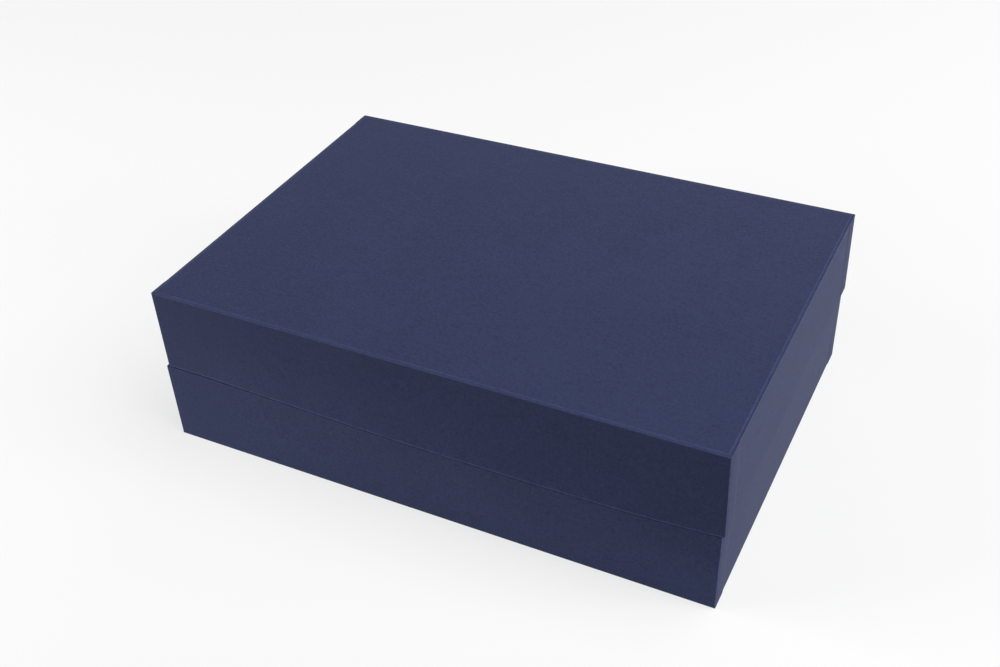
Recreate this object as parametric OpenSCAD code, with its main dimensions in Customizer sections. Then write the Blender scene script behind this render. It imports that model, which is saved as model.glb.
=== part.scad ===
// Rigid shoulder box: a covered greyboard base tray, a covered lid of the same outside size that
// meets it rim to rim, and a lined inner tray, the neck, which stands up out of the base and
// keeps the lid in place. Millimetres. The origin is the centre of the underside, +Z is up and
// the long side runs along X.

/* [Overall size] */
// Outside length of the base and of the lid
box_l = 350; // [260:1:420]
// Outside width of the base and of the lid
box_w = 240; // [180:1:300]
// Outside height of the base, from the table to its rim
base_h = 53.7; // [45:0.1:80]
// Outside height of the lid, from its rim to its top face
lid_h = 54.1; // [45:0.1:90]
// Gap that the folds of the covering leave between the two rims
seam_gap = 0.2; // [0:0.05:0.6]

/* [Greyboard] */
// Thickness of the boards of the base and of the lid
board_t = 2; // [1.5:0.1:3]
// Thickness of the boards of the neck
neck_board_t = 1.6; // [1.2:0.1:2.5]

/* [Covering] */
// Thickness of the woven covering
wrap_t = 0.3; // [0.25:0.05:0.4]
// Radius of the covering round the outside edges
edge_r = 0.6; // [0.3:0.1:0.8]
// Width of the strip that is turned in over a rim
turn_in = 18; // [10:1:25]
// Width of the strip that is turned under the bottom board
turn_under = 16; // [10:1:25]
// Width of the slit at each mitre of the strip under the bottom
mitre_gap = 0.4; // [0.2:0.1:1]
// Width of the ears folded round the corners, beneath the covering of the short sides
ear_w = 13; // [8:1:20]

/* [Linings] */
// Thickness of the paper that covers the neck
neck_paper_t = 0.25; // [0.15:0.05:0.4]
// Thickness of the lining paper
liner_t = 0.25; // [0.15:0.05:0.4]
// Distance from a rim to the edge of the lining
liner_drop = 4; // [2:0.5:8]
// Thickness of the sheet under the bottom
sheet_t = 0.3; // [0.2:0.05:0.5]
// Distance from the outside of the base to the edge of that sheet
sheet_margin = 3; // [2:0.5:8]

/* [Corner stays] */
// Thickness of the paper stays that tie the boards at a corner
stay_t = 0.15; // [0.1:0.05:0.3]
// Width of each leg of a stay
stay_leg = 12; // [8:1:20]

/* [Neck] */
// How far the neck stands above the rim of the base
neck_rise = 22; // [12:1:30]
// Room between the neck and the lining of a centred lid, on each side
lid_play = 1.8; // [0.6:0.1:3]
// Share of that room by which the lid has slid to the right
slip_share = 0.84; // [0:0.01:0.95]

/* [Hidden] */
$fn = 48;
// Overrun of the cuts
over = 1;
// Sides and corners, as signs along X and Y
front = -1;
back = 1;
left = -1;
right = 1;

// Base boards: the short sides carry an ear as well as the covering
board_l = box_l - 4 * wrap_t;
board_w = box_w - 2 * wrap_t;
base_board_z = sheet_t + wrap_t;
base_floor_z = base_board_z + board_t;
base_board_top = base_h - wrap_t;

// Clear inside of the lid, between its linings
lid_clear_l = board_l - 2 * (board_t + wrap_t + liner_t);
lid_clear_w = board_w - 2 * (board_t + wrap_t + liner_t);

// Neck: outside of its paper, outside of its boards, heights
neck_l = lid_clear_l - 2 * lid_play;
neck_w = lid_clear_w - 2 * lid_play;
neck_board_l = neck_l - 2 * neck_paper_t;
neck_board_w = neck_w - 2 * neck_paper_t;
neck_top = base_h + neck_rise;
neck_floor_z = base_floor_z + neck_board_t;
neck_board_top = neck_top - neck_paper_t;

// Lid: how far it has slid, and the height of its top face
lid_slip = lid_play * slip_share;
lid_top = base_h + seam_gap + lid_h;
// The lid is modelled as a tray that stands on its top face
lid_board_z = wrap_t;
lid_ceiling_z = lid_board_z + board_t;
lid_board_rim = lid_h - wrap_t;

covering = [0.24, 0.26, 0.38];
neck_colour = [0.17, 0.18, 0.27];
lining = [0.20, 0.22, 0.32];
greyboard = [0.56, 0.54, 0.50];
kraft = [0.70, 0.56, 0.40];

// Block centred in plan, from height z0 to height z1
module block(l, w, z0, z1)
    translate([-l / 2, -w / 2, z0]) cube([l, w, z1 - z0]);

// Upright ring of that outside size and wall
module ring(l, w, wall, z0, z1)
    difference() {
        block(l, w, z0, z1);
        block(l - 2 * wall, w - 2 * wall, z0 - over, z1 + over);
    }

// Rectangle with round corners
module round_rect(l, w, r) {
    square([l - 2 * r, w], center = true);
    square([l, w - 2 * r], center = true);
    for (x = [left, right], y = [front, back])
        translate([x * (l / 2 - r), y * (w / 2 - r)]) circle(r);
}

// Block whose twelve edges are folds of one radius
module soft_block(l, w, z0, z1, r)
    translate([0, 0, (z0 + z1) / 2]) intersection() {
        linear_extrude(z1 - z0 + 2 * over, center = true) round_rect(l, w, r);
        rotate([90, 0, 0]) linear_extrude(w + 2 * over, center = true) round_rect(l, z1 - z0, r);
        rotate([90, 0, 90]) linear_extrude(l + 2 * over, center = true) round_rect(w, z1 - z0, r);
    }

// Corner stay of a tray of boards: an angle of paper rolled flush into the two walls
module stay(l, w, z0, z1, x, y)
    translate([x * l / 2, y * w / 2, z0])
        mirror([x == right ? 1 : 0, 0, 0]) mirror([0, y == back ? 1 : 0, 0])
            linear_extrude(z1 - z0)
                polygon([
                    [0, 0], [stay_leg, 0], [stay_leg, stay_t],
                    [stay_t, stay_t], [stay_t, stay_leg], [0, stay_leg]
                ]);

module stays(l, w, z0, z1)
    for (x = [left, right], y = [front, back]) stay(l, w, z0, z1, x, y);

// Front or back wall of a tray of boards, over its full length
module long_wall(l, w, t, z0, z1, side)
    difference() {
        translate([0, side * (w - t) / 2, 0]) block(l, t, z0, z1);
        stays(l, w, z0, z1);
    }

// Left or right wall, between the long ones
module short_wall(l, w, t, z0, z1, side)
    difference() {
        translate([side * (l - t) / 2, 0, 0]) block(t, w - 2 * t, z0, z1);
        stays(l, w, z0, z1);
    }

// Room that a cover leaves free: the boards with their inside, less the strip that is turned in
module cover_room(l, w, z0, z1, wall, t) {
    difference() {
        block(l, w, z0 + t, z1 - t);
        ring(l - 2 * wall, w - 2 * wall, t, z1 - turn_in, z1);
    }
    block(l - 2 * (wall + t), w - 2 * (wall + t), z0 + t, z1 + over);
}

// Hollows of the short sides, between the ears
module ear_hollows(z0, z1)
    for (x = [left, right])
        translate([x * (box_l / 2 - wrap_t + over / 2), 0, 0])
            block(over, box_w - 2 * ear_w, z0 - over, z1 + over);

// Outer covering of a tray of boards, folded round all its edges and in over its rim
module outer_cover(z0, z1)
    difference() {
        soft_block(box_l, box_w, z0, z1, edge_r);
        cover_room(board_l, board_w, z0, z1, board_t, wrap_t);
        ear_hollows(z0, z1);
    }

// Lining tray: its walls lie on the boards and, above, on the turned-in strip of thickness t
module lining_tray(l, w, floor_z, rim_z, t)
    difference() {
        block(l, w, floor_z, rim_z - liner_drop);
        block(l - 2 * (t + liner_t), w - 2 * (t + liner_t), floor_z + liner_t, rim_z + over);
        ring(l + over, w + over, t + over / 2, rim_z - turn_in, rim_z + over);
    }

// Sets a tray that was modelled on its top face rim down on the base
module as_lid()
    translate([lid_slip, 0, lid_top]) mirror([0, 0, 1]) children();

// Base

module bottom_sheet()
    color(covering)
        block(box_l - 2 * sheet_margin, box_w - 2 * sheet_margin, 0, sheet_t);

module base_wrap()
    color(covering) difference() {
        outer_cover(sheet_t, base_h);
        block(box_l - 2 * turn_under, box_w - 2 * turn_under, 0, base_board_z);
        for (x = [left, right], y = [front, back])
            translate([x * (box_l / 2 - turn_under), y * (box_w / 2 - turn_under), 0])
                rotate([0, 0, x == y ? 45 : -45])
                    block(sqrt(8) * (turn_under - edge_r), mitre_gap, 0, base_board_z);
    }

module base_bottom_board()
    color(greyboard) block(board_l, board_w, base_board_z, base_floor_z);

module base_front_board()
    color(greyboard) long_wall(board_l, board_w, board_t, base_floor_z, base_board_top, front);

module base_back_board()
    color(greyboard) long_wall(board_l, board_w, board_t, base_floor_z, base_board_top, back);

module base_left_board()
    color(greyboard) short_wall(board_l, board_w, board_t, base_floor_z, base_board_top, left);

module base_right_board()
    color(greyboard) short_wall(board_l, board_w, board_t, base_floor_z, base_board_top, right);

module base_stay(x, y)
    color(kraft) stay(board_l, board_w, base_floor_z, base_board_top, x, y);

// Neck

module neck_floor_board()
    color(greyboard) block(neck_board_l, neck_board_w, base_floor_z, neck_floor_z);

module neck_long_wall(side)
    color(greyboard)
        long_wall(neck_board_l, neck_board_w, neck_board_t, neck_floor_z, neck_board_top, side);

module neck_short_wall(side)
    color(greyboard)
        short_wall(neck_board_l, neck_board_w, neck_board_t, neck_floor_z, neck_board_top, side);

module neck_stay(x, y)
    color(kraft) stay(neck_board_l, neck_board_w, neck_floor_z, neck_board_top, x, y);

module neck_wrap()
    color(neck_colour) difference() {
        soft_block(neck_l, neck_w, base_floor_z - over, neck_top, edge_r);
        block(neck_l + over, neck_w + over, base_floor_z - 2 * over, base_floor_z);
        cover_room(neck_board_l, neck_board_w, base_floor_z - neck_paper_t, neck_top,
            neck_board_t, neck_paper_t);
    }

module neck_lining()
    color(lining)
        lining_tray(neck_board_l - 2 * neck_board_t, neck_board_w - 2 * neck_board_t,
            neck_floor_z, neck_top, neck_paper_t);

// Lid

module lid_top_board()
    color(greyboard) as_lid() block(board_l, board_w, lid_board_z, lid_ceiling_z);

module lid_long_wall(side)
    color(greyboard) as_lid()
        long_wall(board_l, board_w, board_t, lid_ceiling_z, lid_board_rim, side);

module lid_short_wall(side)
    color(greyboard) as_lid()
        short_wall(board_l, board_w, board_t, lid_ceiling_z, lid_board_rim, side);

module lid_stay(x, y)
    color(kraft) as_lid() stay(board_l, board_w, lid_ceiling_z, lid_board_rim, x, y);

module lid_wrap()
    color(covering) as_lid() outer_cover(0, lid_h);

module lid_lining()
    color(lining) as_lid()
        lining_tray(board_l - 2 * board_t, board_w - 2 * board_t, lid_ceiling_z, lid_h, wrap_t);

bottom_sheet();
base_wrap();
base_bottom_board();
base_front_board();
base_back_board();
base_left_board();
base_right_board();
base_stay(left, front);  // base_stay_front_left
base_stay(right, front);  // base_stay_front_right
base_stay(left, back);  // base_stay_back_left
base_stay(right, back);  // base_stay_back_right
neck_floor_board();
neck_long_wall(front);  // neck_front_board
neck_long_wall(back);  // neck_back_board
neck_short_wall(left);  // neck_left_board
neck_short_wall(right);  // neck_right_board
neck_stay(left, front);  // neck_stay_front_left
neck_stay(right, front);  // neck_stay_front_right
neck_stay(left, back);  // neck_stay_back_left
neck_stay(right, back);  // neck_stay_back_right
neck_wrap();
neck_lining();
lid_top_board();
lid_long_wall(front);  // lid_front_board
lid_long_wall(back);  // lid_back_board
lid_short_wall(left);  // lid_left_board
lid_short_wall(right);  // lid_right_board
lid_stay(left, front);  // lid_stay_front_left
lid_stay(right, front);  // lid_stay_front_right
lid_stay(left, back);  // lid_stay_back_left
lid_stay(right, back);  // lid_stay_back_right
lid_wrap();
lid_lining();
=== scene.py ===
"""Looks of a cloth-covered shoulder box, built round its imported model. Metres, +Z up, the lid on."""
import math

import bmesh
import bpy
from mathutils import Matrix, Vector

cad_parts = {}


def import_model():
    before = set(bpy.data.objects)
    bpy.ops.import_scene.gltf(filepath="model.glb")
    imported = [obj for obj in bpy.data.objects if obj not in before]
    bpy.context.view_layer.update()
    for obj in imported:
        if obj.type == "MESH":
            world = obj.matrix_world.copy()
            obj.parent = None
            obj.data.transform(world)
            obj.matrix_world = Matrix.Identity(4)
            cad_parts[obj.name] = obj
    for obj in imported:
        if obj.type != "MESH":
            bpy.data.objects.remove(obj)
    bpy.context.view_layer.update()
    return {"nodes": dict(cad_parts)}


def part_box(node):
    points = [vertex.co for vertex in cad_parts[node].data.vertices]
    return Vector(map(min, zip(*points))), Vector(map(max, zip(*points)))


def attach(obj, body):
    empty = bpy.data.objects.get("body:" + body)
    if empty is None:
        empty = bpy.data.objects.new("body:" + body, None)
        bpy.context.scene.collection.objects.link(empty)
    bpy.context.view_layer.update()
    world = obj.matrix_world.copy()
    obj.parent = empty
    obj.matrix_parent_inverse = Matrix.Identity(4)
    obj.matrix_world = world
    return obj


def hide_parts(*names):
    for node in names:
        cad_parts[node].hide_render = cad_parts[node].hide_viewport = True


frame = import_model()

MM = 0.001
FRONT, BACK, LEFT, RIGHT = "front", "back", "left", "right"

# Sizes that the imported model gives

CLOTH_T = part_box("base_front_board")[0].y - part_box("base_wrap")[0].y
BOARD_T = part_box("base_front_board")[1].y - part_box("base_front_board")[0].y
NECK_PAPER_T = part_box("neck_front_board")[0].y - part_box("neck_wrap")[0].y
NECK_BOARD_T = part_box("neck_front_board")[1].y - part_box("neck_front_board")[0].y

# Sizes of the cloth work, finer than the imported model's boxes show

LINER_T = 0.25 * MM        # lining paper
RIM_FOLD_R = {"base": 0.4 * MM, "lid": 0.7 * MM}   # folds round the outside of the rims
CORNER_R = 0.5 * MM        # upright corners outside
CORNER_WEAR_AND_HIGHLIGHT = 2.0          # their wear and painted highlight, as a share of the folds' wear and painted highlight
WEAR_AND_HIGHLIGHT_H = 0.6 * MM          # height over which a rim's wear and painted highlight fades
PANEL_FOLD_R = 0.22 * MM   # fold round the edge of the top or the bottom
INNER_FOLD_R = 0.35 * MM   # fold from a rim down into the box
INNER_CORNER_R = 0.2 * MM  # upright corners inside
TURN_IN = 18 * MM          # strip turned in over a rim
TURN_UNDER = 16 * MM       # strip turned under the bottom board
EAR_W = 13 * MM            # ear folded round a corner, under the flap of the short side
EAR_MIDDLE = 6 * MM        # place of the points between an ear's two edges
EAR_FADE = 1.6 * MM        # width over which the flap comes down from the ear onto the board
FLAP_BACK = 1.1 * MM       # distance of the flap's cut edge from the corner
FLAP_STEP = 0.2 * MM       # width of that edge's step
FLAP_SHARE = 0.55          # share of the cloth's thickness that the pressed edge still shows
FLAP_FROM = 0.5 * MM       # where that edge starts, beyond the fold
MITRE_DEPTH = 0.14 * MM    # depth of the line where two turned-in strips meet
LEDGE_RISE = 0.25 * MM     # how far the lid's top stands above its border, which lies over the wall boards
LEDGE_BLEND = 1.6 * MM     # width of the slope up from that border
LEDGE_IN = 1.95 * MM       # distance of the slope's middle from the outside
LEDGE_PAINTED_HIGHLIGHT = 0.6           # painted highlight on that slope, where it would catch the light, as a share of the folds' wear and painted highlight
NECK_R = 0.5 * MM          # the neck's upright corners and rim
LINING_R = 0.8 * MM        # a lining's fold from its floor up its walls

# Fineness of the meshes

FOLD_SEGMENTS = 4
LEDGE_SEGMENTS = 6
CORNER_SEGMENTS = 6
SIDE_STEP = 11 * MM        # points along a side
ROW_STEP = 5 * MM          # rows up the cloth outside and down a turned-in strip
STRIP_STEP = 6 * MM        # rows behind a turned-in strip, and up a lining's inside
BACK_STEP = 8 * MM         # rows up the other glued sides
BOARD_STEP = 14 * MM       # cuts across a board, at which it bends


def lerp(a, b, t):
    return a + (b - a) * t


def smooth(t):
    t = min(max(t, 0.0), 1.0)
    return t * t * (3 - 2 * t)


# The trays: how each stands, and how its walls have bent


class Tray:
    """One half of the box. Its h runs from the outside of its panel to its rim."""

    def __init__(self, body, wrap, board, rim_out, rim_lift):
        low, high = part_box(wrap)
        board_low, board_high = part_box(board)
        self.body = body
        self.rim_up = body == "base"
        self.centre_x = (low.x + high.x) / 2
        self.half_x = (high.x - low.x) / 2
        self.half_y = (high.y - low.y) / 2
        self.height = high.z - low.z
        self.panel_z = low.z if self.rim_up else high.z
        self.floor_h = board_low.z - low.z if self.rim_up else high.z - board_high.z
        self.rim_out = rim_out
        self.rim_lift = rim_lift

    def z(self, h):
        return self.panel_z + h if self.rim_up else self.panel_z - h

    def h(self, z):
        return z - self.panel_z if self.rim_up else self.panel_z - z

    def bend(self, p):
        """A point's real place: walls bow outwards between their corners, most of all at the free rim."""
        free = (self.h(p.z) - self.floor_h) / (self.height - self.floor_h)
        if free <= 0:
            return p
        free = min(free, FREE_MOST) ** WALL_CURVE
        x = (p.x - self.centre_x) / self.half_x
        y = p.y / self.half_y
        along_x, along_y = (x + 1) / 2, (y + 1) / 2
        long_side = self.rim_out[FRONT if y < 0 else BACK]
        short_side = self.rim_out[LEFT if x < 0 else RIGHT]
        dy = y * bow(long_side, along_x) * free
        dx = x * bow(short_side, along_y) * free
        at_front = smooth((-y - LIFT_FROM) / LIFT_OVER)
        dz = between(self.rim_lift, along_x) * at_front * free
        return Vector((p.x + dx, p.y + dy, p.z + dz))


# Share of the bow at places along a wall, from its left or front end
LATE_CREST = ((0, 0), (0.1, 0.06), (0.25, 0.42), (0.42, 0.84), (0.6, 1), (0.78, 0.9), (0.92, 0.5), (1, 0))
LATER_CREST = (*LATE_CREST[:-2], (0.92, 0.6), (1, 0.03))
BROAD_CREST = ((0, 0), (0.06, 0.12), (0.15, 0.55), (0.3, 0.9), (0.5, 1), (0.75, 0.98), (0.92, 0.75), (1, 0))
WALL_CURVE = 1.25    # how late in its height a wall starts to lean
FREE_MOST = 1.05     # height, as a share of the wall, above which the bow grows no more
LIFT_FROM = 0.75     # share of the half width at which the front's lift starts
LIFT_OVER = 0.2      # share of it over which the lift grows to its full height


def between(marks, t):
    """Smooth curve through (place, value) marks, which ends level with the first and the last."""
    t = min(max(t, marks[0][0]), marks[-1][0])
    i = max(k for k in range(len(marks) - 1) if marks[k][0] <= t)
    (t0, s0), (t1, s1) = marks[i], marks[i + 1]
    before, after = marks[max(i - 1, 0)], marks[min(i + 2, len(marks) - 1)]
    slope0 = (s1 - before[1]) / (t1 - before[0])
    slope1 = (after[1] - s0) / (after[0] - t0)
    u, w = (t - t0) / (t1 - t0), t1 - t0
    return (
        (2 * u ** 3 - 3 * u ** 2 + 1) * s0 + (u ** 3 - 2 * u ** 2 + u) * slope0 * w
        + (3 * u ** 2 - 2 * u ** 3) * s1 + (u ** 3 - u ** 2) * slope1 * w
    )


def bow(side, t):
    """Outward shift of a rim: from its first end to its last, plus the bow between them."""
    first, middle, last, shares = side
    t = min(max(t, 0.0), 1.0)
    return lerp(first, last, t) + middle * between(shares, t)


# Each rim: how far out its first end, its bow's crest and its last end lie, and the bow's shape
RIM_OUT = {
    "base": {
        FRONT: (0, 3.8 * MM, 0.1 * MM, LATER_CREST),
        BACK: (0, 3.2 * MM, 0, LATE_CREST),
        LEFT: (0.3 * MM, 0.8 * MM, 0.3 * MM, LATE_CREST),
        RIGHT: (0.8 * MM, 1.5 * MM, 0.2 * MM, BROAD_CREST),
    },
    "lid": {
        FRONT: (0, 4.1 * MM, 0, LATE_CREST),
        BACK: (0, 3.3 * MM, 0, LATE_CREST),
        LEFT: (-0.2 * MM, 0.9 * MM, 0, LATE_CREST),
        RIGHT: (0.6 * MM, 0, 0.4 * MM, LATE_CREST),
    },
}

# Height of the front rim above its place, from its left end: the lid gapes at the left
# and rests at the right
LEVEL = ((0, 0), (1, 0))
GAPING = (
    (0, 0.2 * MM), (0.02, 0.42 * MM), (0.1, 0.38 * MM), (0.16, 0.25 * MM),
    (0.3, 0.16 * MM), (0.6, 0.16 * MM), (0.74, 0.05 * MM), (0.86, -0.1 * MM), (1, -0.18 * MM),
)
BASE = Tray("base", "base_wrap", "base_bottom_board", RIM_OUT["base"], LEVEL)
LID = Tray("lid", "lid_wrap", "lid_top_board", RIM_OUT["lid"], GAPING)

# Wear and painted highlight of the folds on each side: round the panel, and at the rim
WEAR_AND_HIGHLIGHT = {
    "base": {FRONT: (1, 0.3), BACK: (1, 1), LEFT: (1, 1), RIGHT: (1, 1.3)},
    "lid": {FRONT: (1.5, 1.9), BACK: (0.4, 1), LEFT: (0.4, 1), RIGHT: (1.8, 1)},
}
EVEN_WEAR_AND_HIGHLIGHT = {side: (1, 1) for side in (FRONT, BACK, LEFT, RIGHT)}


# Rings: closed loops round a tray, from which every cloth and paper piece is made


def stations(half, first, fixed=()):
    """Distances from a corner at which a side has points, up to its middle."""
    marks = sorted(fixed)
    start = max([first, *marks])
    count = max(2, round((half - start) / SIDE_STEP))
    return [first, *marks, *(lerp(start, half, (i + 1) / count) for i in range(count))]


EAR_MARKS = (
    FLAP_BACK, FLAP_BACK + FLAP_STEP, EAR_MIDDLE,
    EAR_W - EAR_FADE, EAR_W - EAR_FADE / 2, EAR_W, EAR_W + EAR_FADE / 2, EAR_W + EAR_FADE,
)


def ear_step(a, strip):
    """How far the short side lies below its ears' level, a away from the corner."""
    edge = smooth((a - FLAP_BACK) / FLAP_STEP)
    past = smooth((a - EAR_W + EAR_FADE) / (2 * EAR_FADE))
    return CLOTH_T * max((1 - edge) * strip * FLAP_SHARE, past)


class Row:
    """One ring.

    inset_x and inset_y lead in from the outermost short and long walls, h is its level, and corner the
    radius of its corners. ears is the share of the ears' step, strip is 1 where the flap's cut edge
    shows, mitre is the depth of the line at its corners, and fold is its wear and painted highlight.
    """

    def __init__(self, inset_x, inset_y, h, corner=0.0, ears=0.0, strip=0.0, mitre=0.0, fold=0.0):
        self.inset_x, self.inset_y, self.h, self.corner = inset_x, inset_y, h, corner
        self.ears, self.strip, self.mitre, self.fold = ears, strip, mitre, fold


def ring_points(row, half_x, half_y, long_marks, short_marks, first):
    """Points of a ring round the origin in plan, with the height in z: front, right, back, left."""
    hx, hy, r = half_x - row.inset_x, half_y - row.inset_y, row.corner

    def from_corner(a, half, inset):
        return inset + r + (a - first) * (half - inset - r) / (half - first)

    near_x = [from_corner(a, half_x, row.inset_x) for a in long_marks]
    near_y = [from_corner(a, half_y, row.inset_y) for a in short_marks]
    xs = [a - half_x for a in near_x] + [half_x - a for a in reversed(near_x[:-1])]
    corner_in = row.ears * ear_step(0, row.strip)
    cx, cy = hx - corner_in - r, hy - r
    arc = []
    for k in range(1, CORNER_SEGMENTS):
        angle = math.radians(90) * k / CORNER_SEGMENTS
        h = row.h - (row.mitre if 2 * k == CORNER_SEGMENTS else 0)
        arc.append((r * math.sin(angle), r * math.cos(angle), h))
    half_plan = [(x, -hy, row.h) for x in xs]
    half_plan += [(cx + far, -cy - near, h) for far, near, h in arc]
    walk = [(a, a - half_y) for a in near_y] + [(a, half_y - a) for a in reversed(near_y[:-1])]
    for a, y in walk:
        half_plan.append((hx - row.ears * ear_step(a, row.strip), y, row.h))
    half_plan += [(cx + near, cy + far, h) for far, near, h in arc]
    return half_plan + [(-x, -y, h) for x, y, h in half_plan]


class Skin:
    """Builds one closed mesh from rings and flat panels round a tray."""

    def __init__(self, half_x, half_y, first, short_fixed=(), wear=EVEN_WEAR_AND_HIGHLIGHT, rim_from=0.0):
        self.half_x, self.half_y, self.first = half_x, half_y, first
        self.wear, self.rim_from = wear, rim_from
        self.long_marks = stations(half_x, first)
        self.short_marks = stations(half_y, first, short_fixed)
        self.bm = bmesh.new()
        self.fold = self.bm.verts.layers.float.new("fold")

    def points(self, row):
        return ring_points(row, self.half_x, self.half_y, self.long_marks, self.short_marks, self.first)

    def worn_and_lit(self, x, y, row):
        """Wear and painted highlight at a point of a ring: its corners' own, or that of its side."""
        in_x, in_y = self.half_x - abs(x), self.half_y - abs(y)
        # Upright corners carry their own wear and painted highlight, on every row.
        if in_x < CORNER_R and in_y < 1.01 * CORNER_R:
            return CORNER_WEAR_AND_HIGHLIGHT
        if in_y < in_x:
            side = FRONT if y < 0 else BACK
        else:
            side = LEFT if x < 0 else RIGHT
        by_panel, by_rim = self.wear[side]
        return row.fold * (by_rim if row.h > self.rim_from else by_panel)

    def verts(self, row):
        made = []
        for x, y, h in self.points(row):
            v = self.bm.verts.new((x, y, h))
            v[self.fold] = self.worn_and_lit(x, y, row)
            made.append(v)
        return made

    def tube(self, rows, closed=False):
        rings = [self.verts(row) for row in rows]
        if closed:
            rings.append(rings[0])
        for a, b in zip(rings, rings[1:]):
            count = len(a)
            for i in range(count):
                j = (i + 1) % count
                self.bm.faces.new((a[i], a[j], b[j], b[i]))
        return self

    def panel(self, row):
        """Grid that fills a ring whose corners have no radius."""
        ring = self.points(row)
        xs = sorted({round(p[0], 8) for p in ring if abs(p[1]) > self.half_y - row.inset_y - 1e-7})
        ys = sorted({round(p[1], 8) for p in ring if abs(p[0]) > self.half_x - row.inset_x - 1e-7})
        grid = [[self.bm.verts.new((x, y, row.h)) for y in ys] for x in xs]
        for i in range(len(xs) - 1):
            for j in range(len(ys) - 1):
                corners = (grid[i][j], grid[i + 1][j], grid[i + 1][j + 1], grid[i][j + 1])
                self.bm.faces.new(corners)
        return self

    def finish(self, name, tray, centre_x, z_of, bent=True):
        bmesh.ops.remove_doubles(self.bm, verts=self.bm.verts, dist=1e-7)
        bmesh.ops.dissolve_degenerate(self.bm, edges=self.bm.edges, dist=1e-8)
        for v in self.bm.verts:
            p = Vector((v.co.x + centre_x, v.co.y, z_of(v.co.z)))
            v.co = tray.bend(p) if bent else p
        bmesh.ops.recalc_face_normals(self.bm, faces=self.bm.faces)
        if self.bm.calc_volume(signed=True) < 0:
            bmesh.ops.reverse_faces(self.bm, faces=self.bm.faces)
        return as_piece(self.bm, name, tray.body)


def as_piece(bm, name, body, smooth_angle=50):
    mesh = bpy.data.meshes.new(name)
    for f in bm.faces:
        f.smooth = True
    for e in bm.edges:
        e.smooth = len(e.link_faces) == 2 and e.calc_face_angle(0) < math.radians(smooth_angle)
    bm.to_mesh(mesh)
    bm.free()
    piece = bpy.data.objects.new(name, mesh)
    bpy.context.scene.collection.objects.link(piece)
    weighted = piece.modifiers.new("even shading", "WEIGHTED_NORMAL")
    weighted.keep_sharp = True
    weighted.weight = 100
    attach(piece, body)
    return piece


# Rows shared by the coverings


def fold_steps(r):
    """Quarter turn from lying flat to standing up: (inset, rise), both from the sharp corner."""
    for k in range(1, FOLD_SEGMENTS + 1):
        angle = math.radians(90) * k / FOLD_SEGMENTS
        yield r * (1 - math.sin(angle)), r * (1 - math.cos(angle))


def levels(a, b, step):
    count = max(1, round(abs(b - a) / step))
    return [lerp(a, b, (i + 1) / count) for i in range(count)]


def ledge_rows(rise):
    """Covering from the panel down to its border over the wall boards."""
    for k in range(LEDGE_SEGMENTS + 1):
        share = k / LEDGE_SEGMENTS
        inset = LEDGE_IN + LEDGE_BLEND * (0.5 - share)
        # Painted highlight on the slope, strongest at its middle.
        yield Row(inset, inset, -rise * smooth(1 - share), fold=LEDGE_PAINTED_HIGHLIGHT * math.sin(math.pi * share))


def outside_rows(panel_r, r, height, ledge):
    """Covering from the panel's edge round the first fold and up the wall to the rim's outer fold."""
    rows = [*ledge_rows(ledge), Row(panel_r, panel_r, 0, CORNER_R - panel_r, ears=1)]
    for inset, rise in fold_steps(panel_r):
        rows.append(Row(inset, inset, rise, CORNER_R - inset, ears=1, fold=1))
    for h in [panel_r + FLAP_FROM, *levels(panel_r + FLAP_FROM, height - r - WEAR_AND_HIGHLIGHT_H, ROW_STEP)]:
        rows.append(Row(0, 0, h, CORNER_R, ears=1, strip=1))
    rows.append(Row(0, 0, height - r, CORNER_R, ears=1, strip=1, fold=1))
    # The rim fold's wear and painted highlight fade as the fold turns to face down, where it would lie in
    # shade.
    for inset, rise in reversed(list(fold_steps(r))[:-1]):
        corner = max(CORNER_R - inset, 0.1 * CORNER_R)
        rows.append(Row(inset, inset, height - rise, corner, ears=1, strip=1, fold=1 - inset / r))
    return rows


def inside_rows(outer_r, r, height, wall_x, wall_y, depth, sheet_t):
    """Covering from the rim's inner edge down to the cut edge of the strip that is turned in."""
    corner = INNER_CORNER_R
    rows = [
        Row(outer_r, outer_r, height, corner, ears=0.5, mitre=MITRE_DEPTH, fold=0.3),
        Row(wall_x - r, wall_y - r, height, corner, mitre=MITRE_DEPTH, fold=0.5),
    ]
    for inset, rise in fold_steps(r):
        rows.append(Row(wall_x - inset, wall_y - inset, height - rise, corner, mitre=MITRE_DEPTH, fold=1))
    for h in levels(height - r, height - depth, ROW_STEP):
        rows.append(Row(wall_x, wall_y, h, corner))
    rows.append(Row(wall_x - sheet_t, wall_y - sheet_t, height - depth, corner))
    return rows


def hidden_rows(height, depth, sheet_t, board_t, layers_x, floor_h):
    """Glued side of a covering, against the boards, from the turned-in strip back to the panel."""
    corner = INNER_CORNER_R
    out_x, out_y = layers_x * sheet_t, sheet_t
    rows = []
    for h in levels(height - depth, height - sheet_t, STRIP_STEP):
        rows.append(Row(out_x + board_t, out_y + board_t, h, corner))
    for h in [height - sheet_t, *levels(height - sheet_t, floor_h, BACK_STEP)]:
        rows.append(Row(out_x, out_y, h, corner))
    return rows


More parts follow.
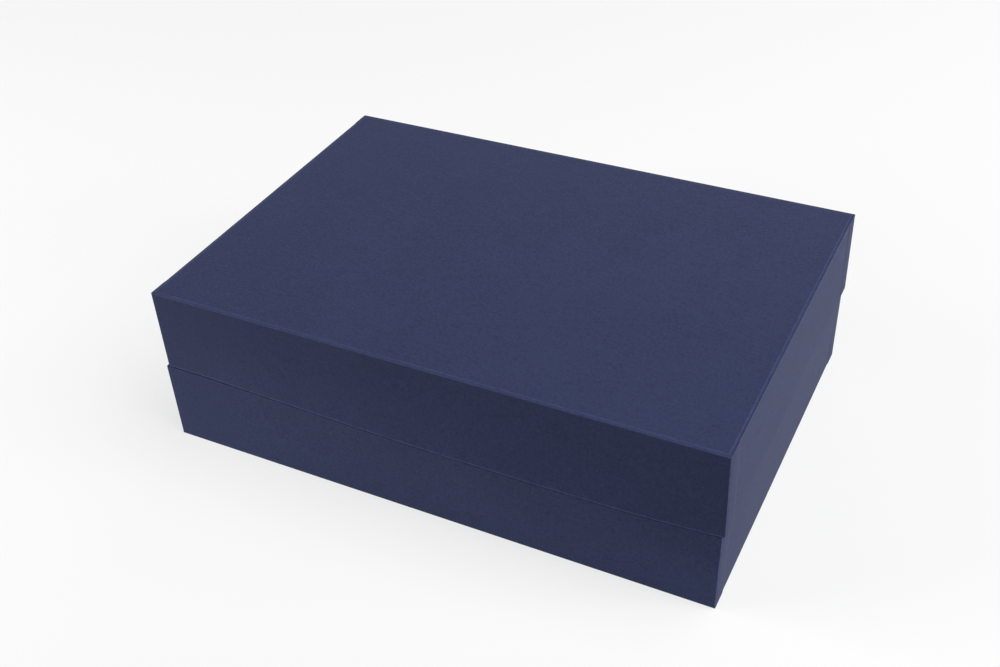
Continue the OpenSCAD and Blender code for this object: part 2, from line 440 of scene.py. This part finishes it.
def covering(tray, name, node):
    """Cloth over a tray of boards: one sheet, folded up, round the corners as ears, over the rim and in."""
    rim_r = RIM_FOLD_R[tray.body]
    wear = WEAR_AND_HIGHLIGHT[tray.body]
    skin = Skin(tray.half_x, tray.half_y, CORNER_R, EAR_MARKS, wear, rim_from=tray.height / 2)
    wall_y = 2 * CLOTH_T + BOARD_T
    wall_x = wall_y + CLOTH_T
    rows = outside_rows(PANEL_FOLD_R, rim_r, tray.height, 0 if tray.rim_up else LEDGE_RISE)
    rows += inside_rows(rim_r, INNER_FOLD_R, tray.height, wall_x, wall_y, TURN_IN, CLOTH_T)
    rows += hidden_rows(tray.height, TURN_IN, CLOTH_T, BOARD_T, 2, CLOTH_T)
    if tray.rim_up:
        under = [Row(TURN_UNDER, TURN_UNDER, h, INNER_CORNER_R) for h in (CLOTH_T, 0)]
        skin.tube(rows + under, closed=True)
    else:
        last = Row(2 * CLOTH_T, CLOTH_T, CLOTH_T, 0)
        skin.tube(rows[:-1] + [last])
        skin.panel(rows[0])
        skin.panel(last)
    piece = skin.finish(name, tray, tray.centre_x, tray.z)
    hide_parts(node)
    return piece


def neck_covering():
    """Paper over the neck's boards, turned in over its rim. The neck stands straight."""
    low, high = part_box("neck_wrap")
    height = high.z - low.z
    wall = 2 * NECK_PAPER_T + NECK_BOARD_T
    skin = Skin(high.x, high.y, NECK_R)
    rows = [Row(0, 0, h, NECK_R) for h in [0, *levels(0, height - NECK_R, BACK_STEP)]]
    for inset, rise in reversed(list(fold_steps(NECK_R))[:-1]):
        rows.append(Row(inset, inset, height - rise, max(NECK_R - inset, INNER_CORNER_R)))
    rows += inside_rows(NECK_R, INNER_FOLD_R, height, wall, wall, TURN_IN, NECK_PAPER_T)
    board_in = NECK_PAPER_T + NECK_BOARD_T
    rows.append(Row(board_in, board_in, height - NECK_PAPER_T, INNER_CORNER_R))
    rows.append(Row(NECK_PAPER_T, NECK_PAPER_T, height - NECK_PAPER_T, INNER_CORNER_R))
    rows.append(Row(NECK_PAPER_T, NECK_PAPER_T, 0, INNER_CORNER_R))
    skin.tube(rows, closed=True)
    piece = skin.finish("neck_paper_cover", BASE, 0, lambda h: low.z + h, bent=False)
    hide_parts("neck_wrap")
    return piece


def lining(name, node, tray, wall_t, bent):
    """Paper tray inside: a floor and four walls, whose upper part steps in over the turned-in strip."""
    low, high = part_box(node)
    half_x, half_y = (high.x - low.x) / 2, (high.y - low.y) / 2
    centre_x = (high.x + low.x) / 2
    height = high.z - low.z
    floor_z = low.z if tray.rim_up else high.z
    step_h = abs((tray.z(tray.height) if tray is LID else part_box("neck_wrap")[1].z) - floor_z) - TURN_IN
    inner = wall_t + LINER_T
    skin = Skin(half_x, half_y, LINING_R)
    rows = [Row(inner + LINING_R, inner + LINING_R, LINER_T, 0)]
    for inset, rise in fold_steps(LINING_R):
        rows.append(Row(inner + inset, inner + inset, LINER_T + rise, INNER_CORNER_R))
    for h in levels(LINER_T + LINING_R, height, STRIP_STEP):
        rows.append(Row(inner, inner, h, INNER_CORNER_R))
    rows.append(Row(wall_t, wall_t, height, INNER_CORNER_R))
    rows.append(Row(wall_t, wall_t, step_h, INNER_CORNER_R))
    for h in [step_h, *levels(step_h, 0, BACK_STEP)]:
        rows.append(Row(0, 0, h, INNER_CORNER_R))
    rows[-1] = Row(0, 0, 0, 0)
    skin.tube(rows)
    skin.panel(rows[0])
    skin.panel(rows[-1])
    rise = (lambda h: floor_z + h) if tray.rim_up else (lambda h: floor_z - h)
    piece = skin.finish(name, tray, centre_x, rise, bent)
    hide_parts(node)
    return piece


def bent_board(node, tray):
    """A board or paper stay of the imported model, bent with its tray."""
    bm = bmesh.new()
    bm.from_mesh(frame["nodes"][node].data)
    bmesh.ops.remove_doubles(bm, verts=bm.verts, dist=1e-6)
    low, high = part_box(node)
    for axis in range(3):
        count = int((high[axis] - low[axis]) / BOARD_STEP)
        for i in range(count):
            at, normal = Vector(), Vector()
            at[axis] = lerp(low[axis], high[axis], (i + 1) / (count + 1))
            normal[axis] = 1
            everything = bm.verts[:] + bm.edges[:] + bm.faces[:]
            bmesh.ops.bisect_plane(bm, geom=everything, dist=1e-7, plane_co=at, plane_no=normal)
    for v in bm.verts:
        v.co = tray.bend(v.co)
    piece = as_piece(bm, "bent_" + node, tray.body, smooth_angle=30)
    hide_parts(node)
    return piece


# Materials


class Graph:
    """A material's node tree, with one line per step."""

    def __init__(self, name):
        self.material = bpy.data.materials.new(name)
        self.material.use_nodes = True
        self.tree = self.material.node_tree
        self.tree.nodes.clear()
        self.shader = self.tree.nodes.new("ShaderNodeBsdfPrincipled")
        out = self.tree.nodes.new("ShaderNodeOutputMaterial")
        self.tree.links.new(self.shader.outputs["BSDF"], out.inputs["Surface"])

    def put(self, socket, value):
        if isinstance(value, bpy.types.NodeSocket):
            self.tree.links.new(value, socket)
        else:
            socket.default_value = value

    def math(self, operation, *values, clamp=False):
        node = self.tree.nodes.new("ShaderNodeMath")
        node.operation = operation
        node.use_clamp = clamp
        for socket, value in zip(node.inputs, values):
            self.put(socket, value)
        return node.outputs[0]

    def choose(self, factor, a, b):
        return self.math("ADD", a, self.math("MULTIPLY", factor, self.math("SUBTRACT", b, a)))

    def object_place(self):
        node = self.tree.nodes.new("ShaderNodeTexCoord")
        split = self.tree.nodes.new("ShaderNodeSeparateXYZ")
        self.put(split.inputs[0], node.outputs["Object"])
        return split.outputs[0], split.outputs[1], split.outputs[2]

    def normal(self):
        node = self.tree.nodes.new("ShaderNodeNewGeometry")
        split = self.tree.nodes.new("ShaderNodeSeparateXYZ")
        self.put(split.inputs[0], node.outputs["True Normal"])
        return [self.math("ABSOLUTE", s) for s in split.outputs]

    def vector(self, x, y, z):
        node = self.tree.nodes.new("ShaderNodeCombineXYZ")
        for socket, value in zip(node.inputs, (x, y, z)):
            self.put(socket, value)
        return node.outputs[0]

    def scaled(self, place, factor):
        return self.vector(*(self.math("MULTIPLY", c, factor) for c in place))

    def noise(self, place, detail=2.0, roughness=0.5):
        node = self.tree.nodes.new("ShaderNodeTexNoise")
        self.put(node.inputs["Vector"], place)
        node.inputs["Scale"].default_value = 1.0
        node.inputs["Detail"].default_value = detail
        node.inputs["Roughness"].default_value = roughness
        return node.outputs[0]

    def ramp(self, value, low, high, to_low=0.0, to_high=1.0):
        node = self.tree.nodes.new("ShaderNodeMapRange")
        for socket, v in zip(node.inputs, (value, low, high, to_low, to_high)):
            self.put(socket, v)
        return node.outputs[0]

    def mix(self, factor, a, b):
        node = self.tree.nodes.new("ShaderNodeMix")
        node.data_type = "RGBA"
        self.put(node.inputs[0], factor)
        self.put(node.inputs[6], a)
        self.put(node.inputs[7], b)
        return node.outputs[2]

    def attribute(self, name):
        node = self.tree.nodes.new("ShaderNodeAttribute")
        node.attribute_name = name
        return node.outputs["Fac"]

    def bump(self, height, distance, strength):
        node = self.tree.nodes.new("ShaderNodeBump")
        node.inputs["Distance"].default_value = distance
        node.inputs["Strength"].default_value = strength
        self.put(node.inputs["Height"], height)
        self.put(self.shader.inputs["Normal"], node.outputs[0])


def cloth_plan(g):
    """The sheet's own directions on each face: along the long threads, and across them."""
    x, y, z = g.object_place()
    nx, ny, nz = g.normal()
    faces_x = g.math("MULTIPLY", g.math("GREATER_THAN", nx, ny), g.math("GREATER_THAN", nx, nz))
    faces_y = g.math("MULTIPLY", g.math("GREATER_THAN", ny, nx), g.math("GREATER_THAN", ny, nz))
    along = g.choose(faces_x, x, z)
    across = g.choose(faces_y, y, z)
    return along, across, (x, y, z)


def plain_weave(g, along, across, pitch):
    """Height of a plain weave, 0 to 1: each thread rises over every second one that it crosses."""
    u, v = g.math("DIVIDE", along, pitch), g.math("DIVIDE", across, pitch)

    def threads(s, t, sign):
        crown = g.math("ABSOLUTE", g.math("SINE", g.math("MULTIPLY", s, math.pi)))
        phase = g.math("MULTIPLY", g.math("ADD", g.math("SUBTRACT", t, 0.5), g.math("FLOOR", s)), math.pi)
        over = g.math("MULTIPLY_ADD", g.math("COSINE", phase), 0.35 * sign, 0.65)
        return g.math("MULTIPLY", g.math("POWER", crown, 0.6), over)

    return g.math("MAXIMUM", threads(u, v, 1), threads(v, u, -1))


# Noise cells per metre in the cloth: along and across its long threads, or the same every way
SLUBS_PER_M = (90, 1100)
PICKS_PER_M = (1300, 160)
CLOUDS_PER_M, MOTTLE_PER_M, RUB_AND_HIGHLIGHT_PER_M = 22, 700, 260
PICK_SEED = 7.3

# Their shares in the cloth's tone, and the tones at which it has its dark and its light colour
SLUB_SHARE, PICK_SHARE = 0.6, 0.4
WEAVE_SHARE, GRAIN_SHARE, MOTTLE_SHARE, CLOUD_SHARE = 0.35, 0.45, 0.9, 0.25
TONES = (0.675, 1.275)

THREAD_PITCH = 0.45 * MM
CLOTH_DEPTH = 0.05 * MM
WEAR_AND_HIGHLIGHT_SHARES = (0.12, 0.3)      # least and most share of the lighter colour, for wear and painted highlight, on a fold


def bookcloth(name, dark, light):
    """Matt dyed bookcloth: a fine weave, slubs along the long threads, a little wear and painted highlight
    on the folds.
    """
    g = Graph(name)
    along, across, place = cloth_plan(g)

    def threads(per_m, seed):
        u, v = (g.math("MULTIPLY", c, k) for c, k in zip((along, across), per_m))
        return g.noise(g.vector(u, v, seed), detail=1.5)

    def total(*parts):
        height = g.math("MULTIPLY", *parts[0])
        for part in parts[1:]:
            height = g.math("ADD", height, g.math("MULTIPLY", *part))
        return height

    weave = plain_weave(g, along, across, THREAD_PITCH)
    slubs, picks = threads(SLUBS_PER_M, 0), threads(PICKS_PER_M, PICK_SEED)
    grain = total((slubs, SLUB_SHARE), (picks, PICK_SHARE))
    clouds = g.noise(g.scaled(place, CLOUDS_PER_M), detail=3.0)
    mottle = g.noise(g.scaled(place, MOTTLE_PER_M), detail=1.0)
    tone = total((weave, WEAVE_SHARE), (grain, GRAIN_SHARE), (mottle, MOTTLE_SHARE), (clouds, CLOUD_SHARE))
    tone = g.ramp(tone, *TONES)
    colour = g.mix(tone, (*dark, 1), (*light, 1))
    # Wear and painted highlight: a lighter colour along the folds, broken up by noise.
    rub_and_highlight = g.ramp(g.noise(g.scaled(place, RUB_AND_HIGHLIGHT_PER_M), detail=3.0), 0.3, 0.7, *WEAR_AND_HIGHLIGHT_SHARES)
    rub_and_highlight = g.math("MULTIPLY", rub_and_highlight, g.attribute("fold"))
    colour = g.mix(rub_and_highlight, colour, (*[min(1.0, 2.4 * c + 0.02) for c in light], 1))
    g.put(g.shader.inputs["Base Color"], colour)
    g.put(g.shader.inputs["Roughness"], g.ramp(grain, 0.3, 0.7, 0.9, 0.78))
    g.shader.inputs["Specular IOR Level"].default_value = 0.16
    g.shader.inputs["Sheen Weight"].default_value = 0.05
    g.shader.inputs["Sheen Roughness"].default_value = 0.4
    g.bump(g.math("ADD", weave, g.math("MULTIPLY", grain, 0.5)), CLOTH_DEPTH, 0.5)
    return g.material


def fibre_paper(name, dark, light, size=0.9 * MM, specks=None, roughness=0.85, depth=0.02 * MM):
    """Uncoated paper or board: soft fibre clouds, short fibres and, in greyboard, darker specks."""
    g = Graph(name)
    x, y, z = g.object_place()
    scale = 1 / size

    def place(k, seed=0.0):
        return g.vector(*(g.math("MULTIPLY_ADD", c, k, seed) for c in (x, y, z)))

    fibres = g.noise(place(scale), detail=4.0, roughness=0.65)
    clouds = g.noise(place(scale * 0.04, 3.1), detail=2.0)
    tone = g.math("ADD", g.math("MULTIPLY", fibres, 0.75), g.math("MULTIPLY", clouds, 0.25))
    colour = g.mix(g.ramp(tone, 0.35, 0.65), (*dark, 1), (*light, 1))
    if specks:
        dots = g.ramp(g.noise(place(scale * 1.7, 11.0), detail=1.0), 0.62, 0.7)
        colour = g.mix(dots, colour, (*specks, 1))
    g.put(g.shader.inputs["Base Color"], colour)
    g.put(g.shader.inputs["Roughness"], g.ramp(fibres, 0.3, 0.7, roughness + 0.05, roughness - 0.05))
    g.shader.inputs["Specular IOR Level"].default_value = 0.3
    g.bump(fibres, depth, 0.4)
    return g.material


def dress(pieces, material):
    for piece in pieces:
        piece.data.materials.clear()
        piece.data.materials.append(material)


# Pieces

cloth = bookcloth("navy_bookcloth", (0.0175, 0.0240, 0.0660), (0.0322, 0.0430, 0.107))
neck_paper = fibre_paper("navy_neck_paper", (0.022, 0.027, 0.060), (0.034, 0.041, 0.088))
lining_paper = fibre_paper("slate_lining_paper", (0.036, 0.044, 0.090), (0.050, 0.060, 0.118))
greyboard = fibre_paper(
    "greyboard", (0.24, 0.22, 0.19), (0.33, 0.31, 0.28), size=1.2 * MM, specks=(0.12, 0.11, 0.1)
)
kraft = fibre_paper("kraft_tape", (0.38, 0.23, 0.11), (0.52, 0.34, 0.18))

dress([covering(BASE, "base_cloth", "base_wrap"), covering(LID, "lid_cloth", "lid_wrap")], cloth)
dress([neck_covering()], neck_paper)
linings = [
    lining("neck_lining_paper", "neck_lining", BASE, NECK_PAPER_T, False),
    lining("lid_lining_paper", "lid_lining", LID, CLOTH_T, True),
]
dress(linings, lining_paper)

for tray in (BASE, LID):
    for side in (FRONT, BACK, LEFT, RIGHT):
        dress([bent_board(f"{tray.body}_{side}_board", tray)], greyboard)
    for long_side in (FRONT, BACK):
        for short_side in (LEFT, RIGHT):
            dress([bent_board(f"{tray.body}_stay_{long_side}_{short_side}", tray)], kraft)

for name, node in frame["nodes"].items():
    if not node.hide_render:
        if "board" in name:
            dress([node], greyboard)
        elif "stay" in name:
            dress([node], kraft)
        else:
            dress([node], cloth)

# Stage: a pale floor that the camera sees almost white, and soft lamps

FLOOR_ALBEDO = 0.92
FLOOR_LIFT = 0.65     # share of plain white in what the camera and reflections see
PAPER = ((-0.8, -0.23), (0.8, 1.0))   # stretch that throws light back at the box
FLOOR_REACH = 7.0


def floor_material():
    material = bpy.data.materials.new("white_floor")
    material.use_nodes = True
    tree = material.node_tree
    tree.nodes.clear()
    lit = tree.nodes.new("ShaderNodeBsdfDiffuse")
    lit.inputs["Color"].default_value = (FLOOR_ALBEDO, FLOOR_ALBEDO, FLOOR_ALBEDO, 1)
    white = tree.nodes.new("ShaderNodeEmission")
    path = tree.nodes.new("ShaderNodeLightPath")
    seen = tree.nodes.new("ShaderNodeMath")
    seen.operation = "MAXIMUM"
    share = tree.nodes.new("ShaderNodeMath")
    share.operation = "MULTIPLY"
    share.inputs[1].default_value = FLOOR_LIFT
    mix = tree.nodes.new("ShaderNodeMixShader")
    out = tree.nodes.new("ShaderNodeOutputMaterial")
    tree.links.new(path.outputs["Is Camera Ray"], seen.inputs[0])
    tree.links.new(path.outputs["Is Glossy Ray"], seen.inputs[1])
    tree.links.new(seen.outputs[0], share.inputs[0])
    tree.links.new(share.outputs[0], mix.inputs[0])
    tree.links.new(lit.outputs[0], mix.inputs[1])
    tree.links.new(white.outputs[0], mix.inputs[2])
    tree.links.new(mix.outputs[0], out.inputs["Surface"])
    return material


def rectangle(low, high):
    return [low, (high[0], low[1]), high, (low[0], high[1])]


def floor_piece(name, points, faces, material):
    mesh = bpy.data.meshes.new(name)
    mesh.from_pydata([(x, y, 0) for x, y in points], [], faces)
    mesh.materials.append(material)
    piece = bpy.data.objects.new(name, mesh)
    bpy.context.scene.collection.objects.link(piece)
    return piece


def floor():
    """White paper round the box, and the same floor beyond it, which throws no light back."""
    near = rectangle(*PAPER)
    far = rectangle((-FLOOR_REACH, -FLOOR_REACH), (FLOOR_REACH, FLOOR_REACH))
    around = [(i, (i + 1) % 4, 4 + (i + 1) % 4, 4 + i) for i in range(4)]
    material = floor_material()
    floor_piece("paper", near, [(0, 1, 2, 3)], material)
    beyond = floor_piece("floor_beyond", far + near, around, material)
    beyond.visible_diffuse = False


def world():
    """White where the camera or a reflection looks, and no light of its own."""
    made = bpy.data.worlds.new("studio")
    bpy.context.scene.world = made
    made.use_nodes = True
    tree = made.node_tree
    tree.nodes.clear()
    white = tree.nodes.new("ShaderNodeBackground")
    path = tree.nodes.new("ShaderNodeLightPath")
    seen = tree.nodes.new("ShaderNodeMath")
    seen.operation = "MAXIMUM"
    out = tree.nodes.new("ShaderNodeOutputWorld")
    tree.links.new(path.outputs["Is Camera Ray"], seen.inputs[0])
    tree.links.new(path.outputs["Is Glossy Ray"], seen.inputs[1])
    tree.links.new(seen.outputs[0], white.inputs["Strength"])
    tree.links.new(white.outputs[0], out.inputs["Surface"])


def softbox(name, place, target, size, power):
    lamp = bpy.data.lights.new(name, "AREA")
    lamp.shape = "RECTANGLE"
    lamp.size, lamp.size_y = size
    lamp.energy = power
    piece = bpy.data.objects.new(name, lamp)
    bpy.context.scene.collection.objects.link(piece)
    piece.visible_camera = False
    piece.location = place
    piece.rotation_euler = (Vector(target) - Vector(place)).to_track_quat("-Z", "Y").to_euler()


# Each lamp's name, place, target and size in metres, and power in watts
LAMPS = (
    ("key", (1.0, 0.0, 1.8), (0, 0, 0.05), (1.6, 2.0), 35),
    ("right_low", (1.5, 0.2, 0.5), (0, 0.2, 0.05), (0.6, 0.7), 8.8),
    ("left_strip", (-1.3, -0.8, 0.4), (0, -0.12, 0.05), (0.8, 0.6), 17),
    ("left_grazing", (-2.8, -0.4, 0.35), (0, -0.12, 0.05), (0.5, 0.7), 49),
    ("back_fill", (0.2, 1.9, 0.7), (0, 0, 0.05), (2.4, 1.0), 12),
)

floor()
world()
for lamp in LAMPS:
    softbox(*lamp)

# Camera at the photograph's viewing angle

CAMERA_AT = Vector((0.29178, -0.56561, 0.52426))
CAMERA_FORWARD = Vector((-0.37608, 0.70673, -0.59924))
CAMERA_RIGHT = Vector((0.89562, 0.44305, -0.03956))
CAMERA_LENS = 45.865    # mm
SENSOR_WIDTH = 36       # mm


def camera():
    data = bpy.data.cameras.new("camera")
    data.sensor_fit = "HORIZONTAL"
    data.sensor_width = SENSOR_WIDTH
    data.lens = CAMERA_LENS
    data.clip_start, data.clip_end = 0.01, 50
    piece = bpy.data.objects.new("camera", data)
    bpy.context.scene.collection.objects.link(piece)
    back = -CAMERA_FORWARD.normalized()
    right = (CAMERA_RIGHT - CAMERA_RIGHT.dot(back) * back).normalized()
    up = back.cross(right)
    turn = Matrix((right, up, back)).transposed()
    piece.matrix_world = Matrix.Translation(CAMERA_AT) @ turn.to_4x4()
    bpy.context.scene.camera = piece


camera()
bpy.context.scene.view_settings.view_transform = "Standard"
